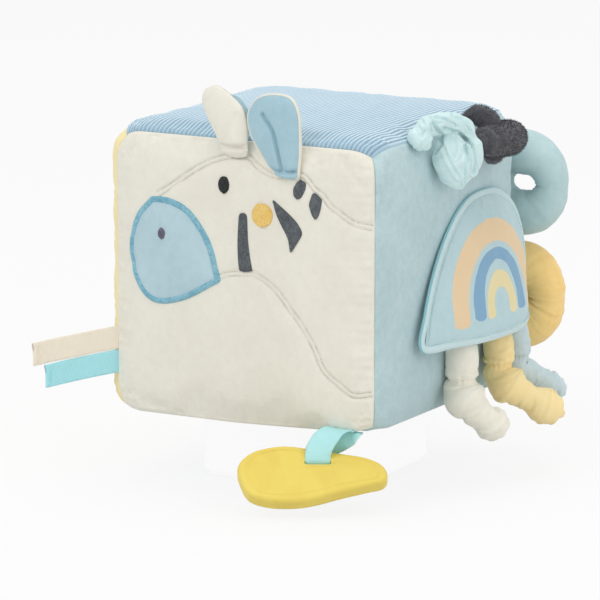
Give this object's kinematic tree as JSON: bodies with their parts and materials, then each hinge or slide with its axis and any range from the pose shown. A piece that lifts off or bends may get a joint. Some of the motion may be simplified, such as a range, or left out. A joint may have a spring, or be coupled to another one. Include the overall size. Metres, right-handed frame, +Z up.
{
  "type": "soft fabric activity block",
  "caption": "Soft padded cloth cube with a zebra face, a lift-up flap over knotted tails, stuffed rings, knotted toggles, ribbon tags, a rattle inside and a teether on a ribbon loop.",
  "frame": {"origin": "middle of the flat underside of the cube", "axes": "+Z up, -Y out of the panel with the zebra face, +X out of the panel with the flap"},
  "size_m": [0.2283, 0.2243, 0.2069],
  "materials": {
    "cream_velour": "short-pile velour",
    "blue_velour": "short-pile velour",
    "blue_corduroy": "ribbed corduroy",
    "yellow_velour": "short-pile velour",
    "mint_velour": "short-pile velour",
    "charcoal_velour": "short-pile velour",
    "satin_thread": "satin binding and satin stitch",
    "grey_thread": "dense satin stitch",
    "yellow_thread": "dense satin stitch",
    "fibre_filling": "loose polyester fibre",
    "beige_ribbon": "satin ribbon",
    "aqua_ribbon": "satin ribbon",
    "crinkle_film": "thin crinkling film",
    "white_plastic": "moulded plastic",
    "red_plastic": "moulded plastic",
    "yellow_silicone": "soft matt silicone"
  },
  "bodies": {
    "cube": {"front_cover": "cream_velour", "right_cover": "blue_velour", "back_cover": "blue_velour", "left_cover": "yellow_velour", "top_cover": "blue_corduroy", "base_cover": "blue_velour", "filling_upper": "fibre_filling", "filling_lower": "fibre_filling", "rattle_cup_lower": "white_plastic", "rattle_cup_upper": "white_plastic", "muzzle_border": "satin_thread", "muzzle_patch": "blue_velour", "nostril": "grey_thread", "eye": "grey_thread", "cheek_dot": "yellow_thread", "stripe_front": "grey_thread", "stripe_middle": "grey_thread", "stripe_upper": "grey_thread", "stripe_rear": "grey_thread"},
    "bead_1": {"rattle_bead_1": "red_plastic"},
    "bead_2": {"rattle_bead_2": "red_plastic"},
    "bead_3": {"rattle_bead_3": "red_plastic"},
    "bead_4": {"rattle_bead_4": "red_plastic"},
    "bead_5": {"rattle_bead_5": "red_plastic"},
    "ear_left": {"ear_left_outer": "cream_velour", "ear_left_lining": "blue_velour"},
    "ear_right": {"ear_right_outer": "cream_velour", "ear_right_lining": "blue_velour"},
    "flap": {"flap_backing": "aqua_ribbon", "flap_film": "crinkle_film", "flap_front": "blue_velour", "flap_binding": "satin_thread"},
    "cream_upper": {"tail_cream_upper": "cream_velour"},
    "cream_lower": {"tail_cream_lower": "cream_velour"},
    "yellow_upper": {"tail_yellow_upper": "yellow_velour"},
    "yellow_lower": {"tail_yellow_lower": "yellow_velour"},
    "blue_upper": {"tail_blue_upper": "blue_velour"},
    "blue_lower": {"tail_blue_lower": "blue_velour"},
    "mint_ring": {"ring_mint": "mint_velour"},
    "yellow_ring": {"ring_yellow": "yellow_velour"},
    "mint_knot": {"knot_mint": "mint_velour"},
    "charcoal_knot": {"knot_charcoal": "charcoal_velour"},
    "beige_tag": {"tag_beige": "beige_ribbon"},
    "aqua_tag": {"tag_aqua": "aqua_ribbon"},
    "loop": {"teether_loop": "aqua_ribbon"},
    "teether": {"teether": "yellow_silicone"}
  },
  "joints": [
    {"name": "bead_1_fall", "type": "slide", "parent": "cube", "child": "bead_1", "axis": [0, 0, 1], "range_m": [0, 0.022]},
    {"name": "bead_2_fall", "type": "slide", "parent": "cube", "child": "bead_2", "axis": [0, 0, 1], "range_m": [0, 0.022]},
    {"name": "bead_3_fall", "type": "slide", "parent": "cube", "child": "bead_3", "axis": [0, 0, 1], "range_m": [0, 0.022]},
    {"name": "bead_4_fall", "type": "slide", "parent": "cube", "child": "bead_4", "axis": [0, 0, 1], "range_m": [0, 0.022]},
    {"name": "bead_5_fall", "type": "slide", "parent": "cube", "child": "bead_5", "axis": [0, 0, 1], "range_m": [0, 0.022]},
    {"name": "ear_left_fold", "type": "hinge", "parent": "cube", "child": "ear_left", "pos_m": [-0.006, -0.0801, 0.1405], "axis": [1, 0, 0], "range_deg": [0, 80], "stiffness_Nm_per_rad": 0.004},
    {"name": "ear_right_fold", "type": "hinge", "parent": "cube", "child": "ear_right", "pos_m": [0.026, -0.0815, 0.1317], "axis": [1, 0, 0], "range_deg": [0, 80], "stiffness_Nm_per_rad": 0.004},
    {"name": "flap_lift", "type": "hinge", "parent": "cube", "child": "flap", "pos_m": [0.0827, 0.0105, 0.113], "axis": [0, -1, 0], "range_deg": [0, 80]},
    {"name": "cream_sway", "type": "hinge", "parent": "cube", "child": "cream_upper", "pos_m": [0.0897, -0.008, 0.052], "axis": [1, 0, 0], "range_deg": [-10, 10]},
    {"name": "cream_bend", "type": "hinge", "parent": "cream_upper", "child": "cream_lower", "pos_m": [0.0967, -0.008, 0.02215], "axis": [0, -1, 0], "range_deg": [0, 60]},
    {"name": "yellow_sway", "type": "hinge", "parent": "cube", "child": "yellow_upper", "pos_m": [0.0888, 0.031, 0.052], "axis": [1, 0, 0], "range_deg": [-4, 6]},
    {"name": "yellow_bend", "type": "hinge", "parent": "yellow_upper", "child": "yellow_lower", "pos_m": [0.0954, 0.031, 0.02215], "axis": [0, -1, 0], "range_deg": [0, 60]},
    {"name": "blue_sway", "type": "hinge", "parent": "cube", "child": "blue_upper", "pos_m": [0.0874, 0.0518, 0.052], "axis": [1, 0, 0], "range_deg": [-4, 4]},
    {"name": "blue_bend", "type": "hinge", "parent": "blue_upper", "child": "blue_lower", "pos_m": [0.0934, 0.0518, 0.02215], "axis": [0, -1, 0], "range_deg": [0, 60]},
    {"name": "mint_ring_swing", "type": "hinge", "parent": "cube", "child": "mint_ring", "pos_m": [0.0752, 0.0758, 0.1086], "axis": [0, 0, -1], "range_deg": [0, 40]},
    {"name": "yellow_ring_swing", "type": "hinge", "parent": "cube", "child": "yellow_ring", "pos_m": [0.0752, 0.0758, 0.0476], "axis": [0, 0, -1], "range_deg": [0, 40]},
    {"name": "mint_knot_lift", "type": "hinge", "parent": "cube", "child": "mint_knot", "pos_m": [0.0753, -0.039, 0.1488], "axis": [0, -1, 0], "range_deg": [0, 24]},
    {"name": "charcoal_knot_lift", "type": "hinge", "parent": "cube", "child": "charcoal_knot", "pos_m": [0.0753, 0.0125, 0.1488], "axis": [0, -1, 0], "range_deg": [0, 30]},
    {"name": "beige_tag_swing", "type": "hinge", "parent": "cube", "child": "beige_tag", "pos_m": [-0.0752, -0.0752, 0.0395], "axis": [0, 0, 1], "range_deg": [-40, 40], "stiffness_Nm_per_rad": 0.0005},
    {"name": "aqua_tag_swing", "type": "hinge", "parent": "cube", "child": "aqua_tag", "pos_m": [-0.0752, -0.0752, 0.027], "axis": [0, 0, 1], "range_deg": [-40, 40], "stiffness_Nm_per_rad": 0.0005},
    {"name": "loop_swing", "type": "hinge", "parent": "cube", "child": "loop", "pos_m": [0.06, -0.0755, 0.003], "axis": [-1, 0, 0], "range_deg": [-20, 50]},
    {"name": "teether_swing", "type": "hinge", "parent": "loop", "child": "teether", "pos_m": [0.04803, -0.08505, -0.00875], "axis": [0.8746, 0.4848, 0], "range_deg": [-40, 75]}
  ]
}
